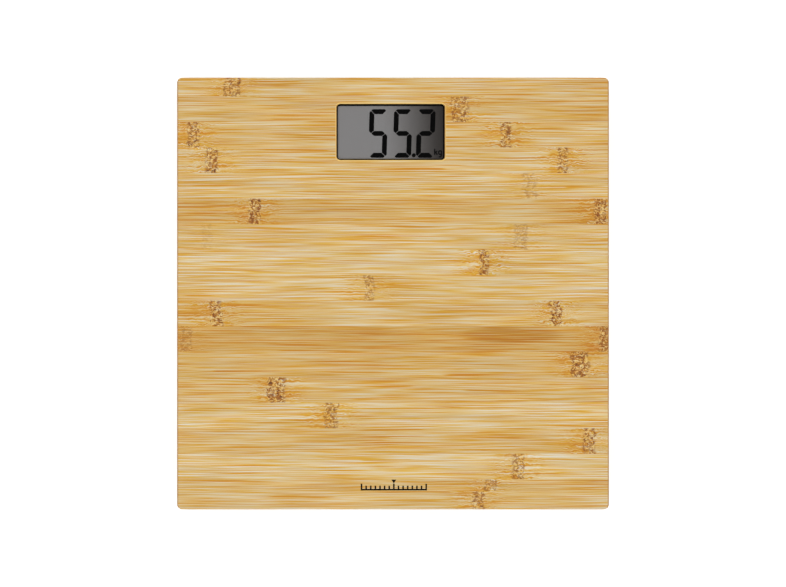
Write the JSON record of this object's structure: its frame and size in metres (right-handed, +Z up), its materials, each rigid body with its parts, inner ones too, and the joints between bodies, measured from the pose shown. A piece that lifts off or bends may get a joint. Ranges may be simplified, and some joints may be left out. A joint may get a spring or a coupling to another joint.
{
  "type": "digital bathroom scale",
  "caption": "Square bamboo platform scale with rounded edges, a recessed digital display window near the rear edge, and low round feet with load cells beneath.",
  "frame": {"origin": "on the floor, below the centre of the square platform", "axes": "+X to the right, +Y away from the user towards the display, +Z up"},
  "size_m": [0.3, 0.3, 0.024],
  "materials": {
    "bamboo": "clear satin lacquer over carbonised bamboo strips",
    "frame_black": "moulded ABS, matt",
    "tape_black": "black foam tape",
    "lens_clear": "clear acrylic, polished",
    "lcd_face": "liquid crystal glass with grey polariser",
    "lcd_back": "liquid crystal glass",
    "zebra_rubber": "layered silicone",
    "pcb_green": "solder mask over copper",
    "glob_top": "epoxy drop",
    "components": "small electronic parts",
    "switch_black": "moulded",
    "plunger_white": "moulded",
    "button_grey": "moulded ABS, fine texture",
    "housing_black": "moulded ABS, spark texture",
    "cell_jacket": "printed jacket over steel",
    "contact_nickel": "nickel-plated spring steel",
    "lead_red": "PVC insulation",
    "lead_black": "PVC insulation",
    "screw_zinc": "zinc-plated",
    "cell_steel": "alloy steel, ground",
    "gauge_sealant": "white silicone over the gauge",
    "foot_black": "moulded ABS",
    "pad_rubber": "soft anti-slip rubber",
    "wire_insulation": "thin PVC insulation",
    "cover_strip": "extruded PVC strip"
  },
  "bodies": {
    "root": {"bamboo_platform": "bamboo", "display_frame": "frame_black", "lens_adhesive": "tape_black", "lcd_lens": "lens_clear", "lcd_front_glass": "lcd_face", "lcd_rear_glass": "lcd_back", "zebra_strips": "zebra_rubber", "main_pcb": "pcb_green", "controller_chip": "glob_top", "pcb_components": "components", "unit_switch": "switch_black", "electronics_housing": "housing_black", "battery_1": "cell_jacket", "battery_2": "cell_jacket", "battery_contact_bridge": "contact_nickel", "battery_contact_positive": "contact_nickel", "battery_contact_negative": "contact_nickel", "battery_springs": "contact_nickel", "battery_lead_red": "lead_red", "battery_lead_black": "lead_black", "housing_screws": "screw_zinc", "pcb_screws": "screw_zinc", "foot_housing_screws": "screw_zinc", "load_cell_housing_front_left": "housing_black", "load_cell_front_left": "cell_steel", "strain_gauge_front_left": "gauge_sealant", "sensor_wires_front_left": "wire_insulation", "cable_cover_front_left": "cover_strip", "load_cell_housing_front_right": "housing_black", "load_cell_front_right": "cell_steel", "strain_gauge_front_right": "gauge_sealant", "sensor_wires_front_right": "wire_insulation", "cable_cover_front_right": "cover_strip", "load_cell_housing_rear_left": "housing_black", "load_cell_rear_left": "cell_steel", "strain_gauge_rear_left": "gauge_sealant", "sensor_wires_rear_left": "wire_insulation", "cable_cover_rear_left": "cover_strip", "load_cell_housing_rear_right": "housing_black", "load_cell_rear_right": "cell_steel", "strain_gauge_rear_right": "gauge_sealant", "sensor_wires_rear_right": "wire_insulation", "cable_cover_rear_right": "cover_strip"},
    "battery_door": {"battery_door": "housing_black"},
    "unit_button": {"unit_button": "button_grey", "switch_plunger": "plunger_white"},
    "foot_front_left": {"foot_front_left": "foot_black", "foot_pad_front_left": "pad_rubber", "foot_screw_front_left": "screw_zinc"},
    "foot_front_right": {"foot_front_right": "foot_black", "foot_pad_front_right": "pad_rubber", "foot_screw_front_right": "screw_zinc"},
    "foot_rear_left": {"foot_rear_left": "foot_black", "foot_pad_rear_left": "pad_rubber", "foot_screw_rear_left": "screw_zinc"},
    "foot_rear_right": {"foot_rear_right": "foot_black", "foot_pad_rear_right": "pad_rubber", "foot_screw_rear_right": "screw_zinc"}
  },
  "joints": [
    {"name": "battery_door_hinge", "type": "hinge", "parent": "root", "child": "battery_door", "pos_m": [-0.0016, 0.0522, 0.0066], "axis": [-1, 0, 0], "range_deg": [0, 90]},
    {"name": "unit_button_press", "type": "slide", "parent": "root", "child": "unit_button", "axis": [0, 0, 1], "range_m": [0, 0.0005], "stiffness_N_per_m": 200, "springref_m": -0.0005},
    {"name": "foot_front_left_travel", "type": "slide", "parent": "root", "child": "foot_front_left", "axis": [0, 0, 1], "range_m": [0, 0.0006], "stiffness_N_per_m": 6000, "springref_m": -0.001, "deforming": ["load_cell_front_left", "strain_gauge_front_left"]},
    {"name": "foot_front_right_travel", "type": "slide", "parent": "root", "child": "foot_front_right", "axis": [0, 0, 1], "range_m": [0, 0.0006], "stiffness_N_per_m": 6000, "springref_m": -0.001, "deforming": ["load_cell_front_right", "strain_gauge_front_right"]},
    {"name": "foot_rear_left_travel", "type": "slide", "parent": "root", "child": "foot_rear_left", "axis": [0, 0, 1], "range_m": [0, 0.0006], "stiffness_N_per_m": 6000, "springref_m": -0.001, "deforming": ["load_cell_rear_left", "strain_gauge_rear_left"]},
    {"name": "foot_rear_right_travel", "type": "slide", "parent": "root", "child": "foot_rear_right", "axis": [0, 0, 1], "range_m": [0, 0.0006], "stiffness_N_per_m": 6000, "springref_m": -0.001, "deforming": ["load_cell_rear_right", "strain_gauge_rear_right"]}
  ]
}
